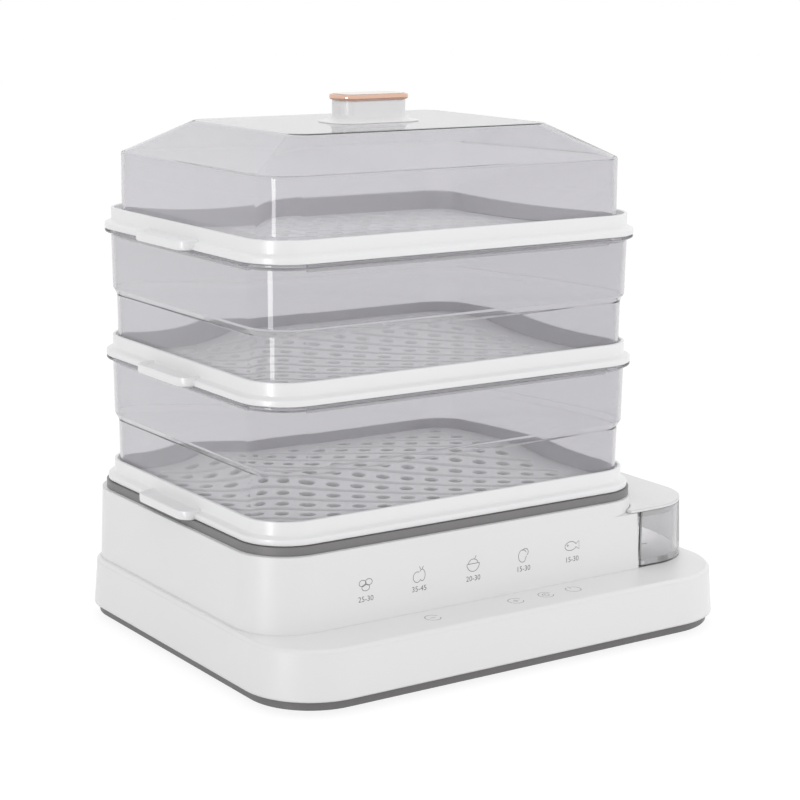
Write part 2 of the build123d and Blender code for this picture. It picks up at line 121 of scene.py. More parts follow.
def link(name, mesh, material, body, replaced=()):
    """Puts a mesh in the scene as a piece that rides on body."""
    piece = bpy.data.objects.new(name, mesh)
    scene.collection.objects.link(piece)
    mesh.materials.clear()
    mesh.materials.append(material)
    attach(piece, body)
    if replaced:
        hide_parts(*replaced)
    return piece


def smooth(mesh, angle):
    """Smooth shading that keeps edges sharper than angle degrees."""
    mesh.shade_smooth()
    mesh.set_sharp_from_angle(angle=math.radians(angle))


def band(work, lower, upper):
    """Faces between two loops of as many points."""
    for index in range(len(lower)):
        after = (index + 1) % len(lower)
        work.faces.new((lower[index], lower[after], upper[after], upper[index]))


def stacked(work, loops):
    """Faces through a pile of loops, closed at both ends."""
    for lower, upper in zip(loops, loops[1:]):
        band(work, lower, upper)
    work.faces.new(reversed(loops[0]))
    work.faces.new(loops[-1])


def cap(work, loop, ring, upward):
    """A flat end inside a loop, with a narrow border that keeps the shading of its middle flat."""
    border = min(CAP_BORDER, ring[2] / 2)
    inner = outline(*drawn_in(ring[:3], border, ring[3]))
    middle = [work.verts.new(point) for point in inner]
    band(work, loop, middle)
    work.faces.new(middle if upward else reversed(middle))


def swept(work, rings, closed=True):
    """Adds a band of faces through the rings, closed into a tube or capped at both ends."""
    loops = []
    for ring in rings:
        loops.append([work.verts.new(point) for point in outline(*ring)])
    pairs = list(zip(loops, loops[1:]))
    if closed:
        pairs.append((loops[-1], loops[0]))
    for lower, upper in pairs:
        band(work, lower, upper)
    if not closed:
        cap(work, loops[0], rings[0], upward=False)
        cap(work, loops[-1], rings[-1], upward=True)


def mesh_from(work, name):
    """Turns a finished bmesh into a mesh with outward faces."""
    bmesh.ops.recalc_face_normals(work, faces=work.faces)
    mesh = bpy.data.meshes.new(name)
    work.to_mesh(mesh)
    work.free()
    smooth(mesh, SHARP)
    return mesh


def swept_mesh(name, rings, reach, closed=True):
    """The mesh swept through softened rings."""
    work = bmesh.new()
    swept(work, soften(rings, reach, closed), closed)
    return mesh_from(work, name)


def add_path(curve, points, closed):
    """Adds straight lines through points to a curve."""
    spline = curve.splines.new("POLY")
    spline.points.add(len(points) - 1)
    spline.use_cyclic_u = closed
    for point, (x, y) in zip(spline.points, points):
        point.co = (x * MM, y * MM, 0, 1)


def mesh_of(name, curve):
    """The mesh that a curve or a text makes."""
    holder = bpy.data.objects.new(name + "_source", curve)
    scene.collection.objects.link(holder)
    bpy.context.view_layer.update()
    made = holder.evaluated_get(bpy.context.evaluated_depsgraph_get())
    mesh = bpy.data.meshes.new_from_object(made)
    bpy.data.objects.remove(holder)
    return mesh


def plate_mesh(name, loops, low, high, edge):
    """A flat plate between two heights, whose first loop is its rim and the others holes."""
    curve = bpy.data.curves.new(name, "CURVE")
    curve.dimensions = "2D"
    curve.fill_mode = "BOTH"
    curve.extrude = ((high - low) / 2 - edge) * MM
    curve.bevel_depth = edge * MM
    curve.bevel_resolution = 1
    for loop in loops:
        add_path(curve, [(STACK.x + x, STACK.y + y) for x, y in loop], True)
    mesh = mesh_of(name, curve)
    mesh.transform(Matrix.Translation((0, 0, (low + high) / 2 * MM)))
    return mesh


def circle(x, y, radius):
    """Points round a circle."""
    turn = 2 * math.pi / HOLE_STEPS
    angles = [turn * step for step in range(HOLE_STEPS)]
    return [(x + radius * math.cos(angle), y + radius * math.sin(angle)) for angle in angles]


def capsule(start, end, radius):
    """Points round a slot with round ends."""
    heading = math.atan2(end[1] - start[1], end[0] - start[0])
    points = []
    for (x, y), first in ((end, -90), (start, 90)):
        for step in range(SLOT_STEPS + 1):
            angle = heading + math.radians(first + 180 * step / SLOT_STEPS)
            points.append((x + radius * math.cos(angle), y + radius * math.sin(angle)))
    return points


# ---- Materials ----

# Scale and detail of the noises, in object space
TINT_NOISE = (9.0, 3.0)
GLOSS_NOISE = (40.0, 3.0)
FLOW_NOISE = (22.0, 1.0)
GRAIN_DETAIL = 2.0
STREAK_DETAIL = 4.0

EDGE_SAMPLES = 4
GRAIN_STRENGTH = 0.25
MOULD_TINT, MOULD_GLOSS = 0.015, 0.15  # how far colour and roughness stray, as shares of them
COAT_ROUGHNESS = 0.12
METAL_TINT, METAL_GLOSS = 0.03, 0.3
METAL_EDGE = 0.4
METAL_GRAIN = 0.01  # height of its grain
METAL_GRAIN_SCALE = 3  # how much finer its grain is than its streaks
CLEAR_ROUGHNESS = 0.03
CLEAR_IOR = 1.49
FLOW_STRENGTH = 0.04
FLOW_HEIGHT = 0.3
SMOKE = (0.30, 0.28, 0.34)
PASSING = (0.97, 0.97, 0.97)


def shader(name):
    """A new material with its Principled shader, nodes and links."""
    material = bpy.data.materials.new(name)
    material.use_nodes = True
    tree = material.node_tree
    return material, tree.nodes["Principled BSDF"], tree.nodes, tree.links


def opaque(colour):
    """A colour with the alpha that its socket wants."""
    return tuple(colour) + (1,)


def stray(value, share):
    """The two values that lie a share below and above one."""
    return value * (1 - share), value * (1 + share)


def mottle(nodes, links, scale, detail, low=0.0, high=1.0):
    """Noise in object space, spread between two values."""
    place = nodes.new("ShaderNodeTexCoord")
    noise = nodes.new("ShaderNodeTexNoise")
    noise.inputs["Scale"].default_value = scale
    noise.inputs["Detail"].default_value = detail
    spread = nodes.new("ShaderNodeMapRange")
    spread.inputs["To Min"].default_value = low
    spread.inputs["To Max"].default_value = high
    links.new(place.outputs["Object"], noise.inputs["Vector"])
    links.new(noise.outputs["Fac"], spread.inputs["Value"])
    return spread.outputs["Result"]


def grain(nodes, links, base, scale, height, edge):
    """Fine bumps of a height in millimetres, over edges that are rounded by edge millimetres."""
    soft = nodes.new("ShaderNodeBevel")
    soft.samples = EDGE_SAMPLES
    soft.inputs["Radius"].default_value = edge * MM
    bump = nodes.new("ShaderNodeBump")
    bump.inputs["Strength"].default_value = GRAIN_STRENGTH
    bump.inputs["Distance"].default_value = height * MM
    links.new(mottle(nodes, links, scale, GRAIN_DETAIL), bump.inputs["Height"])
    links.new(soft.outputs["Normal"], bump.inputs["Normal"])
    links.new(bump.outputs["Normal"], base.inputs["Normal"])


def tint(nodes, links, base, colour, share):
    """Base colour with a slow, slight change of brightness."""
    mix = nodes.new("ShaderNodeMix")
    mix.data_type = "RGBA"
    mix.inputs["A"].default_value = opaque(part * (1 - share) for part in colour)
    mix.inputs["B"].default_value = opaque(min(part * (1 + share), 1) for part in colour)
    links.new(mottle(nodes, links, *TINT_NOISE), mix.inputs["Factor"])
    links.new(mix.outputs["Result"], base.inputs["Base Color"])


def moulding(name, colour, roughness, edge=0.8, coat=0.0, scale=900.0, height=0.02):
    """Moulded plastic: even colour, faint cloudiness in the gloss, and the fine skin of a mould."""
    material, base, nodes, links = shader(name)
    tint(nodes, links, base, colour, MOULD_TINT)
    gloss = mottle(nodes, links, *GLOSS_NOISE, *stray(roughness, MOULD_GLOSS))
    links.new(gloss, base.inputs["Roughness"])
    base.inputs["Coat Weight"].default_value = coat
    base.inputs["Coat Roughness"].default_value = COAT_ROUGHNESS
    grain(nodes, links, base, scale, height, edge)
    return material


def clear_moulding(name, colour, depth):
    """Clear moulded plastic with faint flow marks, smokier where the eye looks through more of it.

    It is transparent to shadow and diffuse rays, so that light reaches what stands behind it.
    """
    material, base, nodes, links = shader(name)
    base.inputs["Base Color"].default_value = opaque(colour)
    base.inputs["Roughness"].default_value = CLEAR_ROUGHNESS
    base.inputs["IOR"].default_value = CLEAR_IOR
    base.inputs["Transmission Weight"].default_value = 1.0
    bump = nodes.new("ShaderNodeBump")
    bump.inputs["Strength"].default_value = FLOW_STRENGTH
    bump.inputs["Distance"].default_value = FLOW_HEIGHT * MM
    links.new(mottle(nodes, links, *FLOW_NOISE), bump.inputs["Height"])
    links.new(bump.outputs["Normal"], base.inputs["Normal"])
    passing = nodes.new("ShaderNodeBsdfTransparent")
    smoke = nodes.new("ShaderNodeVolumeAbsorption")
    smoke.inputs["Color"].default_value = opaque(SMOKE)
    smoke.inputs["Density"].default_value = depth
    links.new(smoke.outputs["Volume"], nodes["Material Output"].inputs["Volume"])
    passing.inputs["Color"].default_value = opaque(PASSING)
    path = nodes.new("ShaderNodeLightPath")
    lets_light_in = nodes.new("ShaderNodeMath")
    lets_light_in.operation = "MAXIMUM"
    links.new(path.outputs["Is Shadow Ray"], lets_light_in.inputs[0])
    links.new(path.outputs["Is Diffuse Ray"], lets_light_in.inputs[1])
    mix = nodes.new("ShaderNodeMixShader")
    links.new(lets_light_in.outputs[0], mix.inputs["Fac"])
    links.new(base.outputs["BSDF"], mix.inputs[1])
    links.new(passing.outputs["BSDF"], mix.inputs[2])
    links.new(mix.outputs["Shader"], nodes["Material Output"].inputs["Surface"])
    return material


def metal(name, colour, roughness, scale):
    """Plated or brushed metal with fine streaks in its polish."""
    material, base, nodes, links = shader(name)
    tint(nodes, links, base, colour, METAL_TINT)
    base.inputs["Metallic"].default_value = 1.0
    polish = mottle(nodes, links, scale, STREAK_DETAIL, *stray(roughness, METAL_GLOSS))
    links.new(polish, base.inputs["Roughness"])
    grain(nodes, links, base, scale * METAL_GRAIN_SCALE, METAL_GRAIN, METAL_EDGE)
    return material


WHITE_SHELL = moulding("white_shell", (0.80, 0.797, 0.80), 0.38, edge=1.6, coat=0.25)
WHITE_TRAY = moulding("white_tray", (0.84, 0.838, 0.845), 0.32, coat=0.3)
GREY_BASE = moulding("grey_base", (0.165, 0.16, 0.162), 0.5)
GREY_BASIN = moulding("grey_basin", (0.20, 0.195, 0.198), 0.42)
CLEAR_LID = clear_moulding("clear_lid", (0.85, 0.845, 0.86), 60.0)
CLEAR_WALL = clear_moulding("clear_wall", (0.80, 0.795, 0.81), 60.0)
CLEAR_BOX = clear_moulding("clear_box", (0.68, 0.677, 0.685), 15.0)
ROSE_GOLD = metal("rose_gold", (0.76, 0.50, 0.385), 0.14, 60.0)
CREAM = moulding("cream_inlay", (0.86, 0.80, 0.74), 0.3)
HEATER = metal("heater_metal", (0.60, 0.60, 0.59), 0.32, 120.0)
BOARD = moulding("circuit_board", (0.04, 0.16, 0.07), 0.45, edge=0.1)
DARK = moulding("dark_plastic", (0.03, 0.03, 0.03), 0.45)
PALE = moulding("pale_floor", (0.84, 0.837, 0.842), 0.3)
RUBBER = moulding("dark_rubber", (0.06, 0.06, 0.062), 0.75, edge=1.0, scale=1500.0, height=0.05)
PRINT = moulding("grey_print", (0.19, 0.185, 0.19), 0.55, edge=0.05)

NODE_LOOKS = {
    "base_housing": WHITE_SHELL,
    "water_box_cover": WHITE_SHELL,
    "bottom_cover": GREY_BASE,
    "rubber_feet": RUBBER,
    "touch_pads": RUBBER,
    "water_tank": GREY_BASIN,
    "water_port": GREY_BASIN,
    "heating_plate": HEATER,
    "heating_element": HEATER,
    "thermostat": DARK,
    "cord_gland": DARK,
    "power_board": BOARD,
    "touch_board": BOARD,
    "indicator_board": BOARD,
    "water_box": CLEAR_BOX,
    "wall_lower": CLEAR_WALL,
    "wall_middle": CLEAR_WALL,
    "lid_shell": CLEAR_LID,
    "tray_lower": WHITE_TRAY,
    "tray_middle": WHITE_TRAY,
    "tray_upper": WHITE_TRAY,
    "knob_base": WHITE_TRAY,
    "knob_band": ROSE_GOLD,
    "knob_top": CREAM,
}
for node, look in NODE_LOOKS.items():
    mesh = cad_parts[node].data
    mesh.materials.clear()
    mesh.materials.append(look)
    smooth(mesh, CAD_SHARP)

# ---- Trays ----

TRAY_PROFILE = (  # inset from the flange, and height over the tray's foot
    (0.0, 0.0),
    (0.0, 4.2),
    (4.5, 5.9),
    (4.5, 14.9),
    (6.9, 14.9),
    (6.9, 5.0),
    (12.0, 5.0),
    (12.0, 3.0),
    (9.6, 3.0),
    (9.6, 0.0),
)
TRAY_SOFT = 0.9
FLOOR_INSET = 11.5
FLOOR_LOW, FLOOR_SPLIT, FLOOR_HIGH = 0.8, 1.4, 5.0
FLOOR_LOW_EDGE, FLOOR_HIGH_EDGE = 0.1, 0.2
HOLE_RADIUS = 5.25
HOLE_PITCH = 17.4
ROW_PITCH = 26.2
ROW_ANGLE = math.radians(-37.5)
ROW_COUNT = 9  # on each side of the middle
FIELD = (135.0, 102.5)  # half length and half width of the perforated field
GROOVE_RADIUS = 3.4
GROOVE_SHORTEST = 4 * HOLE_RADIUS

RIB_DEPTH = 6.0
RIB_INSET = 8.6
RIB_HALF = 1.0
RIB_LEVELS = ((0.0, 0.0), (0.1, RIB_DEPTH - 0.5), (0.5, RIB_DEPTH))  # inset, depth under the tray

TAB_REACH = 9.9
TAB_HALF = 34.5
TAB_RADIUS = 9.0
TAB_ROOT_RADIUS = 0.5
TAB_STEPS = 6
TAB_SHIFT = 3.0
TAB_START = 5.5  # how far inside the flange the tab starts, within the tray's wall
TAB_HIGH = 6.5
TAB_LEVELS = (  # height over the tray's foot, and inset: edges, flat top, then the recess in it
    (0.0, 1.2),
    (0.35, 0.35),
    (1.2, 0.0),
    (TAB_HIGH - 1.2, 0.0),
    (TAB_HIGH - 0.35, 0.35),
    (TAB_HIGH, 1.2),
    (TAB_HIGH, 2.6),
    (TAB_HIGH - 0.3, 3.0),
    (TAB_HIGH - 1.2, 4.2),
)

along = Vector((math.cos(ROW_ANGLE), math.sin(ROW_ANGLE)))
across = Vector((-math.sin(ROW_ANGLE), math.cos(ROW_ANGLE)))


def row_span(offset):
    """Where a row that runs offset from the middle enters and leaves the field, along it."""
    spans = []
    for axis, half in enumerate(FIELD):
        ends = [(side * half - across[axis] * offset) / along[axis] for side in (-1, 1)]
        spans.append(sorted(ends))
    return max(spans[0][0], spans[1][0]), min(spans[0][1], spans[1][1])


def on_row(offset, distance):
    """The place on a row, as x and y."""
    place = across * offset + along * distance
    return (place.x, place.y)


def tray_floor(name):
    """Two thin layers: holes go through both, and the grooves between rows only the upper one."""
    holes = []
    grooves = []
    for row in range(-ROW_COUNT, ROW_COUNT + 1):
        first, last = row_span(row * ROW_PITCH)
        distance = first + HOLE_RADIUS
        while distance < last - HOLE_RADIUS / 2:
            holes.append(circle(*on_row(row * ROW_PITCH, distance), HOLE_RADIUS))
            distance += HOLE_PITCH
        between = (row + 0.5) * ROW_PITCH
        first, last = row_span(between)
        if last - first > GROOVE_SHORTEST:
            start = on_row(between, first + HOLE_RADIUS)
            grooves.append(capsule(start, on_row(between, last - HOLE_RADIUS), GROOVE_RADIUS))
    rim = outline(*tier_ring(FLOOR_INSET, 0))
    rim = [(point.x / MM - STACK.x, point.y / MM - STACK.y) for point in rim]
    low_loops = [rim] + holes
    lower = plate_mesh(name + "_low", low_loops, FLOOR_LOW, FLOOR_SPLIT, FLOOR_LOW_EDGE)
    high_loops = low_loops + grooves
    upper = plate_mesh(name + "_high", high_loops, FLOOR_SPLIT, FLOOR_HIGH, FLOOR_HIGH_EDGE)
    return lower, upper


def tab_mesh(work, side, bottom):
    """A lifting tab on one side, with soft edges and a shallow recess that runs to the wall."""
    inner = FLANGE[0] - TAB_START
    loops = []
    for height, inset in TAB_LEVELS:
        loop = []
        outer = FLANGE[0] + TAB_REACH - inset
        mid = (inner + outer) / 2
        half = (outer - inner) / 2
        for quarter, (side_x, side_y) in enumerate(QUARTERS):
            radius = TAB_RADIUS - inset if side_x > 0 else TAB_ROOT_RADIUS
            for step in range(TAB_STEPS + 1):
                angle = math.radians(90 * (quarter + step / TAB_STEPS))
                x = mid + side_x * (half - radius) + radius * math.cos(angle)
                y = side_y * (TAB_HALF - inset - radius) + radius * math.sin(angle)
                place = STACK + Vector((side * x, TAB_SHIFT + y, bottom + height))
                loop.append(work.verts.new(place * MM))
        loops.append(loop)
    stacked(work, loops)


def rib_mesh(work, centre, half_x, half_y, bottom):
    """A locating rib under one side, whose foot is narrower than its top."""
    loops = []
    for inset, depth in RIB_LEVELS:
        loop = []
        for side_x, side_y in QUARTERS:
            place = Vector((side_x * (half_x - inset), side_y * (half_y - inset), bottom - depth))
            loop.append(work.verts.new((STACK + centre + place) * MM))
        loops.append(loop)
    stacked(work, loops)


floor_layers = tray_floor("tray_floor")
for node, body in TIERS:
    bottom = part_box(node)[0].z / MM + RIB_DEPTH
    work = bmesh.new()
    rings = [tier_ring(inset, bottom + height) for inset, height in TRAY_PROFILE]
    swept(work, soften(rings, TRAY_SOFT))
    half_x = FLANGE[0] - FLANGE[2]
    half_y = FLANGE[1] - FLANGE[2]
    for side in (-1, 1):
        tab_mesh(work, side, bottom)
        end = Vector((side * (FLANGE[0] - RIB_INSET), 0, 0))
        rib_mesh(work, end, RIB_HALF, half_y, bottom)
        long_side = Vector((0, side * (FLANGE[1] - RIB_INSET), 0))
        rib_mesh(work, long_side, half_x, RIB_HALF, bottom)
    for layer in floor_layers:
        layer.transform(Matrix.Translation((0, 0, bottom * MM)))
        work.from_mesh(layer)
        layer.transform(Matrix.Translation((0, 0, -bottom * MM)))
    mesh = mesh_from(work, node + "_body")
    link(node + "_body", mesh, WHITE_TRAY, body, (node,))

# ---- Clear walls ----

WALL_SOFT = 0.7
WALL_RIM = 1.7
WALL_NECK = 3.7
WALL_STEP = (42.0, 47.0)  # where the wall steps in, below its top
WALL_STEP_LAG = 0.6  # how much lower the step is on the inside
NECK_INSET = 4.4
STEP_INSETS = (5.2, 8.0)
FOOT_INSET = 8.5
WALL_THICKNESS = 2.2


def wall_profile(foot, top):
    """Inset and height round a clear wall's section: down its outside and up its inside."""
    neck = top - WALL_NECK
    upper, lower = (top - drop for drop in WALL_STEP)
    return (
        (0.0, top),
        (0.0, top - WALL_RIM),
        (NECK_INSET, neck),
        (STEP_INSETS[0], upper),
        (STEP_INSETS[1], lower),
        (FOOT_INSET, foot),
        (FOOT_INSET + WALL_THICKNESS, foot),
        (STEP_INSETS[1] + WALL_THICKNESS, lower - WALL_STEP_LAG),
        (STEP_INSETS[0] + WALL_THICKNESS, upper - WALL_STEP_LAG),
        (NECK_INSET + WALL_THICKNESS, neck),
        (NECK_INSET + WALL_THICKNESS, top),
    )


for node, body in WALLS:
    low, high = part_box(node)
    rings = [tier_ring(inset, height) for inset, height in wall_profile(low.z / MM, high.z / MM)]
    mesh = swept_mesh(node + "_body", rings, WALL_SOFT)
    link(node + "_body", mesh, CLEAR_WALL, body, (node,))

# ---- Lid and knob ----

LID_SOFT = 1.2
LID_WALL = 2.2
LID_INSET = 12.2
ROOF = (104.0, 73.8, 12.0)  # half length, half width and corner radius of the roof's flat
ROOF_DROP = 23.0  # from the flat down to the shoulder
ROOF_BORDER = 5.0
KNOB = (26.5, 12.75, 9.0)
KNOB_SOFT = 0.8
KNOB_FOOT = (  # half length, half width, corner radius, and height over the roof
    (36.3, 20.3, 16.5, 0.0),
    (36.3, 20.3, 16.5, 0.6),
    (30.5, 16.5, 12.8, 1.9),
    (27.3, 13.5, 9.8, 3.4),
    KNOB + (5.6,),
)
NECK_EDGE = 0.8
NECK_EDGE_DROP = 0.2
BAND = (28.5, 14.75, 11.0)
BAND_SOFT = 1.7
BAND_LAP = 1.0  # how far the band reaches over the neck

lid_low, lid_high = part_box("lid_shell")
lid_foot = lid_low.z / MM
roof_top = lid_high.z / MM
shoulder = roof_top - ROOF_DROP
band_low, band_high = (corner.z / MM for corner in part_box("knob_band"))

lid_rings = [
    drawn_in(ROOF, ROOF_BORDER, roof_top),
    ROOF + (roof_top,),
    tier_ring(LID_INSET, shoulder),
    tier_ring(LID_INSET, lid_foot),
    tier_ring(LID_INSET + LID_WALL, lid_foot),
    tier_ring(LID_INSET + LID_WALL, shoulder - LID_WALL / 3),
    drawn_in(ROOF, LID_WALL / 2, roof_top - LID_WALL),
    drawn_in(ROOF, ROOF_BORDER, roof_top - LID_WALL),
]
lid_mesh = swept_mesh("lid_body", lid_rings, LID_SOFT, closed=False)
link("lid_body", lid_mesh, CLEAR_LID, "lid", ("lid_shell",))

knob_rings = [ring[:3] + (roof_top + ring[3],) for ring in KNOB_FOOT]
knob_rings.append(KNOB + (band_low - NECK_EDGE_DROP,))
knob_rings.append(drawn_in(KNOB, NECK_EDGE, band_low))
knob_mesh = swept_mesh("knob_body", knob_rings, KNOB_SOFT, closed=False)
link("knob_body", knob_mesh, WHITE_TRAY, "lid", ("knob_base",))

band_rings = [
    drawn_in(KNOB, BAND_LAP, band_low),
    BAND + (band_low,),
    BAND + (band_high,),
    drawn_in(KNOB, BAND_LAP, band_high),
]
band_mesh = swept_mesh("knob_ring", band_rings, BAND_SOFT, closed=False)
link("knob_ring", band_mesh, ROSE_GOLD, "lid", ("knob_band",))

# ---- Water box ----

BOX_INSIDE = LEDGE_TOP + 3.0  # the top of the CAD's clear floor
LEVEL_REACH = 1.0  # points this near a level belong to it
FLOOR_LIFT, FLOOR_DROP = 0.3, -2.4  # how the underside and the top of the clear floor move
PALE_LOW, PALE_HIGH = LEDGE_TOP + 0.8, LEDGE_TOP + 5.2
PLUG_FOOT = (81.0, 82.0)  # heights that the underside of the cover's plug lies between
PLUG_DROP = -1.0
WELD = 0.01  # points nearer than this become one
FLATNESS = 0.1  # how far the points of a level face may stray
UPWARD = 0.9  # least upward part of a level face's normal
STUDS = ((152.5, -127.4), (187.6, -118.6))
STUD_FOOT, STUD_TOP, STUD_LENGTH = 1.8, 1.6, 2.6
STUD_STEPS = 20
STUD_MIDDLE = LEDGE_TOP + 3.0


def near(height):
    """The two heights that points of a level lie between."""
    return height - LEVEL_REACH, height + LEVEL_REACH


def reshaped(node, moves):
    """A copy of a node's mesh whose points between two heights move up, for each of the moves."""
    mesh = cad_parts[node].data.copy()
    for vertex in mesh.vertices:
        for low, high, shift in moves:
            if low * MM < vertex.co.z < high * MM:
                vertex.co.z += shift * MM
                break
    return mesh


def plate_over(node, height, low, high):
    """A plate between two heights that covers a node's level faces, which are at another."""
    work = bmesh.new()
    work.from_mesh(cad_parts[node].data)
    bmesh.ops.remove_doubles(work, verts=work.verts[:], dist=WELD * MM)
    others = []
    for face in work.faces:
        flat = all(abs(vertex.co.z - height * MM) < FLATNESS * MM for vertex in face.verts)
        if not flat or face.normal.z <= UPWARD:
            others.append(face)
    bmesh.ops.delete(work, geom=others, context="FACES")
    for vertex in work.verts:
        vertex.co.z = low * MM
    rim = [tuple(edge.verts) for edge in work.edges if edge.is_boundary]
    raised = {vertex: work.verts.new((*vertex.co.xy, high * MM)) for vertex in work.verts[:]}
    for face in work.faces[:]:
        work.faces.new([raised[vertex] for vertex in face.verts])
    for start, end in rim:
        work.faces.new((start, end, raised[end], raised[start]))
    return mesh_from(work, node + "_plate")


# The clear body has a thin floor under a pale one, and the cover's plug reaches a little deeper
floor_moves = ((*near(LEDGE_TOP), FLOOR_LIFT), (*near(BOX_INSIDE), FLOOR_DROP))
box_mesh = reshaped("water_box", floor_moves)
box_floor = plate_over("water_box", BOX_INSIDE, PALE_LOW, PALE_HIGH)
link("water_box_floor", box_floor, PALE, "base")
link("water_box_body", box_mesh, CLEAR_BOX, "base", ("water_box",))
cover_mesh = reshaped("water_box_cover", ((*PLUG_FOOT, PLUG_DROP),))
link("water_box_lid", cover_mesh, WHITE_SHELL, "box_cover", ("water_box_cover",))

for index, (x, y) in enumerate(STUDS):
    name = f"box_stud_{index + 1}"
    work = bmesh.new()
    bmesh.ops.create_cone(
        work,
        cap_ends=True,
        segments=STUD_STEPS,
        radius1=STUD_FOOT * MM,
        radius2=STUD_TOP * MM,
        depth=STUD_LENGTH * MM,
    )
    mesh = mesh_from(work, name)
    mesh.transform(Matrix.Translation((STACK + Vector((x, y, STUD_MIDDLE))) * MM))
    link(name, mesh, WHITE_TRAY, "base")

# ---- Printed marks ----

PRINT_LINE = 0.22
PRINT_FLATTEN = 0.15
PRINT_GAP = 0.02  # how far a mark's middle stands off its wall
FIGURE_DEPTH = 0.1
COLUMNS = (-85.2, -42.8, 1.5, 44.1, 86.7)
ICON_HEIGHT = 69.8
TIME_HEIGHT = 60.1
TIME_SIZE = 5.2
TIMES = ("25-30", "35-45", "20-30", "15-30", "15-30")
TOUCH_XS = (-42.2, 26.4, 52.2, 76.3)
TOUCH_Y = -145.0
TOUCH_RADIUS = 5.4
ARC_STEPS = 14
TOUCH_STEPS = 24
RING_STEPS = 30
LEVEL_PLACE = (153.0, 61.4)
LEVEL_HALF = 2.4


def front_place(x, height):
    """The matrix of a mark on the block's leaning front wall, with x across and height up."""
    lean = (height - LEDGE_TOP) * math.tan(BLOCK_DRAFT)
    spot = (STACK + Vector((x, lean - BLOCK_FRONT - PRINT_GAP, height))) * MM
    return Matrix.Translation(spot) @ Matrix.Rotation(math.radians(90) - BLOCK_DRAFT, 4, "X")


def ledge_place(x, y):
    """The matrix of a mark that lies on the ledge."""
    return Matrix.Translation((STACK + Vector((x, y, LEDGE_TOP + PRINT_GAP))) * MM)


def place_print(name, curve, place):
    """Flattens a printed curve or text on to its place as a piece of the base."""
    mesh = mesh_of(name, curve)
    mesh.transform(place @ Matrix.Diagonal((1, 1, PRINT_FLATTEN, 1)))
    link(name, mesh, PRINT, "base")


def drawing(name, strokes, place):
    """Thin printed lines: each stroke is its points, and whether it closes."""
    curve = bpy.data.curves.new(name, "CURVE")
    curve.dimensions = "3D"
    curve.bevel_depth = PRINT_LINE * MM
    curve.bevel_resolution = 1
    for points, closed in strokes:
        add_path(curve, points, closed)
    place_print(name, curve, place)


def number(name, text, size, place):
    """Plain printed figures, centred on their place."""
    words = bpy.data.curves.new(name, "FONT")
    words.body = text
    words.size = size * MM
    words.align_x = "CENTER"
    words.align_y = "CENTER"
    words.extrude = FIGURE_DEPTH * MM
    words.resolution_u = 3
    place_print(name, words, place)


def arc(x, y, radius_x, radius_y, first, last, steps=ARC_STEPS):
    """Points along part of an ellipse, from first to last degrees."""
    points = []
    for step in range(steps + 1):
        angle = math.radians(first + (last - first) * step / steps)
        points.append((x + radius_x * math.cos(angle), y + radius_y * math.sin(angle)))
    return points


def ring(x, y, radius_x, radius_y):
    """A closed elliptical stroke."""
    last = 360 * (RING_STEPS - 1) / RING_STEPS
    return (arc(x, y, radius_x, radius_y, 0, last, RING_STEPS - 1), True)


# The program pictures, each round its own middle
EGGS = [ring(-2.4, 1.2, 2.7, 2.1), ring(2.4, 1.6, 2.7, 2.1), ring(0.0, -1.9, 3.0, 2.2)]
ROOTS = [
    (arc(-1.6, -1.5, 3.2, 3.6, 60, 330), False),
    (arc(2.4, -0.6, 2.4, 4.0, -120, 140), False),
    ([(1.2, 3.4), (0.4, 5.6)], False),
    ([(2.4, 3.6), (3.4, 5.4)], False),
]
BOWL = [
    (arc(0, 0.6, 5.2, 5.4, 180, 360), False),
    ([(-5.2, 0.6), (5.2, 0.6)], False),
    (arc(0, 0.6, 3.9, 3.2, 0, 180), False),
    ([(1.2, 3.6), (2.6, 6.0)], False),
]
MEAT = [
    (arc(-0.6, -0.6, 3.6, 4.4, 30, 300), False),
    (arc(1.6, 1.8, 2.6, 2.6, -60, 150), False),
    ([(1.2, -4.4), (2.6, -1.0)], False),
]
FISH = [
    (arc(-1.2, 0.0, 5.0, 3.2, 20, 340), False),
    ([(3.5, 1.1), (6.3, 3.0), (6.3, -3.0), (3.5, -1.1)], False),
    ring(-3.8, 0.7, 0.5, 0.5),
]
for column, (icon, time) in enumerate(zip((EGGS, ROOTS, BOWL, MEAT, FISH), TIMES)):
    drawing(f"program_icon_{column + 1}", icon, front_place(COLUMNS[column], ICON_HEIGHT))
    time_place = front_place(COLUMNS[column], TIME_HEIGHT)
    number(f"program_time_{column + 1}", time, TIME_SIZE, time_place)


def touch_ring(first, last):
    """The open ring round a touch mark, from first to last degrees."""
    return (arc(0, 0, TOUCH_RADIUS, TOUCH_RADIUS, first, last, TOUCH_STEPS), False)


# The touch marks: less, more, timer and power
KEY = touch_ring(20, 340)
MINUS = ([(-2.2, 0), (2.2, 0)], False)
TOUCH_MARKS = (
    [KEY, MINUS],
    [KEY, MINUS, ([(0, -2.2), (0, 2.2)], False)],
    [KEY, ring(0, 0, 2.4, 2.4), ([(0, 0), (0, 1.8)], False)],
    [touch_ring(115, 425), ([(0, 2.6), (0, 6.6)], False)],
)
for index, (x, strokes) in enumerate(zip(TOUCH_XS, TOUCH_MARKS)):
    drawing(f"touch_mark_{index + 1}", strokes, ledge_place(x, TOUCH_Y))

level_line = ([(-LEVEL_HALF, 0), (LEVEL_HALF, 0)], False)
drawing("water_level_mark", [level_line], front_place(*LEVEL_PLACE))

# ---- Floor, lamps and camera ----

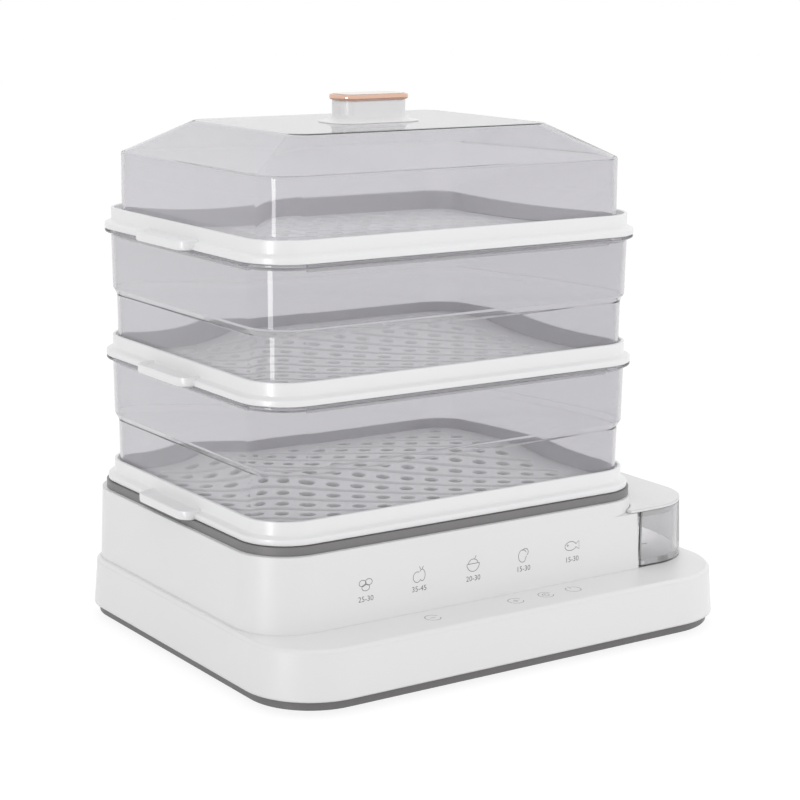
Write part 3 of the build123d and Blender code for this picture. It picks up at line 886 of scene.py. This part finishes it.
WHITE = (1, 1, 1)
STUDIO_FLOOR_HALF = 6.0
STUDIO_FLOOR_COLOUR = (0.9, 0.9, 0.9)
STUDIO_FLOOR_ROUGHNESS = 0.9
STUDIO_FLOOR_GLOW = 1.09  # how bright the floor shows itself
STUDIO_FLOOR_SHARE = 0.8  # how much of what shows is that glow, the rest being the lit floor
WORLD_LIGHT, WORLD_SEEN = 0.68, 1.0  # the world's strength as a light, and as it shows

LAMPS = (  # name, place, what it faces, size, watts
    ("key", (-1.3, -1.6, 1.7), (0, 0, 0.2), (1.4, 1.0), 7.0),
    ("fill", (1.8, -1.0, 1.0), (0, 0, 0.2), (1.2, 1.2), 5.6),
    ("top", (0.1, 0.3, 2.2), (0, 0, 0.1), (1.6, 1.6), 9.5),
    ("low_left", (-1.7, 0.2, 0.3), (0, 0, 0.2), (1.4, 0.4), 2.4),
    ("low_front", (0.5, -1.8, 0.3), (0, 0, 0.2), (1.4, 0.4), 3.0),
)
STRIP = ("strip", (-0.634, -0.288, 0.2), (-0.17, -0.1, 0.2), (0.12, 0.6), 1.7)
TIER_GLOW = (0.26, 0.2)
BOX_GLOW = (0.03, 0.18)
GLOWS = (  # name, place from the stack axis in millimetres, size, watts, body
    ("lower_glow", (0.0, 0.0, 190.0), TIER_GLOW, 0.08, "middle_tray"),
    ("middle_glow", (0.0, 0.0, 281.0), TIER_GLOW, 0.08, "upper_tray"),
    ("lid_glow", (0.0, 0.0, 350.0), TIER_GLOW, 0.05, "lid"),
    ("box_glow", (185.5, 0.0, 79.5), BOX_GLOW, 0.042, "box_cover"),
)

CAMERA_PLACE = (-0.8359, -1.2246, 0.4751)
CAMERA_YAW = 0.5956002
CAMERA_PITCH = 0.1757374
CAMERA_ROLL = -0.0082023
CAMERA_LENS = 95.08
CAMERA_SHIFT = (0.0003, -0.0876)
SENSOR_WIDTH = 36.0


def seen_factor(nodes, links):
    """1 for rays that show the background to the camera, in gloss or through clear plastic."""
    path = nodes.new("ShaderNodeLightPath")
    total = path.outputs["Is Camera Ray"]
    for kind in ("Is Glossy Ray", "Is Transmission Ray"):
        add = nodes.new("ShaderNodeMath")
        add.operation = "MAXIMUM"
        links.new(total, add.inputs[0])
        links.new(path.outputs[kind], add.inputs[1])
        total = add.outputs[0]
    return total


work = bmesh.new()
bmesh.ops.create_grid(work, x_segments=1, y_segments=1, size=STUDIO_FLOOR_HALF)
floor_mesh = bpy.data.meshes.new("floor")
work.to_mesh(floor_mesh)
work.free()
floor = bpy.data.objects.new("floor", floor_mesh)
scene.collection.objects.link(floor)
floor_look, floor_base, nodes, links = shader("floor")
floor_base.inputs["Base Color"].default_value = opaque(STUDIO_FLOOR_COLOUR)
floor_base.inputs["Roughness"].default_value = STUDIO_FLOOR_ROUGHNESS
glow = nodes.new("ShaderNodeEmission")
glow.inputs["Color"].default_value = opaque(WHITE)
glow.inputs["Strength"].default_value = STUDIO_FLOOR_GLOW
scaled = nodes.new("ShaderNodeMath")
scaled.operation = "MULTIPLY"
scaled.inputs[1].default_value = STUDIO_FLOOR_SHARE
blend = nodes.new("ShaderNodeMixShader")
links.new(seen_factor(nodes, links), scaled.inputs[0])
links.new(scaled.outputs[0], blend.inputs["Fac"])
links.new(floor_base.outputs["BSDF"], blend.inputs[1])
links.new(glow.outputs["Emission"], blend.inputs[2])
links.new(blend.outputs["Shader"], nodes["Material Output"].inputs["Surface"])
floor_mesh.materials.append(floor_look)

world = bpy.data.worlds.new("studio")
scene.world = world
world.use_nodes = True
nodes = world.node_tree.nodes
links = world.node_tree.links
background = nodes["Background"]
background.inputs["Color"].default_value = opaque(WHITE)
strength = nodes.new("ShaderNodeMapRange")
strength.inputs["To Min"].default_value = WORLD_LIGHT
strength.inputs["To Max"].default_value = WORLD_SEEN
links.new(seen_factor(nodes, links), strength.inputs["Value"])
links.new(strength.outputs["Result"], background.inputs["Strength"])


def softbox(name, place, target, size, power, mirrored=False):
    """A soft lamp aimed at a point. A mirrored one shows only in gloss, and the others never do."""
    lamp = bpy.data.lights.new(name, "AREA")
    lamp.shape = "RECTANGLE"
    lamp.size, lamp.size_y = size
    lamp.energy = power
    holder = bpy.data.objects.new(name, lamp)
    scene.collection.objects.link(holder)
    holder.visible_glossy = mirrored
    holder.visible_diffuse = not mirrored
    holder.visible_camera = False
    holder.visible_transmission = False
    holder.location = place
    heading = Vector(target) - Vector(place)
    holder.rotation_euler = heading.to_track_quat("-Z", "Y").to_euler()
    return holder


for lamp_values in LAMPS:
    softbox(*lamp_values)
softbox(*STRIP, mirrored=True)

# Faint lamps that face down and ride with the piece above them stand for light scattered inside
for name, spot, size, power, body in GLOWS:
    place = (STACK + Vector(spot)) * MM
    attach(softbox(name, place, (place.x, place.y, 0), size, power), body)

sin_yaw, cos_yaw = math.sin(CAMERA_YAW), math.cos(CAMERA_YAW)
sin_pitch, cos_pitch = math.sin(CAMERA_PITCH), math.cos(CAMERA_PITCH)
ahead = Vector((sin_yaw * cos_pitch, cos_yaw * cos_pitch, -sin_pitch))
right = Vector((cos_yaw, -sin_yaw, 0))
down = ahead.cross(right)
turned_right = math.cos(CAMERA_ROLL) * right + math.sin(CAMERA_ROLL) * down
turned_up = math.sin(CAMERA_ROLL) * right - math.cos(CAMERA_ROLL) * down
camera_data = bpy.data.cameras.new("camera")
camera_data.sensor_width = SENSOR_WIDTH
camera_data.lens = CAMERA_LENS
camera_data.shift_x, camera_data.shift_y = CAMERA_SHIFT
camera = bpy.data.objects.new("camera", camera_data)
scene.collection.objects.link(camera)
basis = Matrix((turned_right, turned_up, -ahead)).transposed().to_4x4()
camera.matrix_world = Matrix.Translation(CAMERA_PLACE) @ basis
scene.camera = camera
scene.view_settings.view_transform = "Standard"
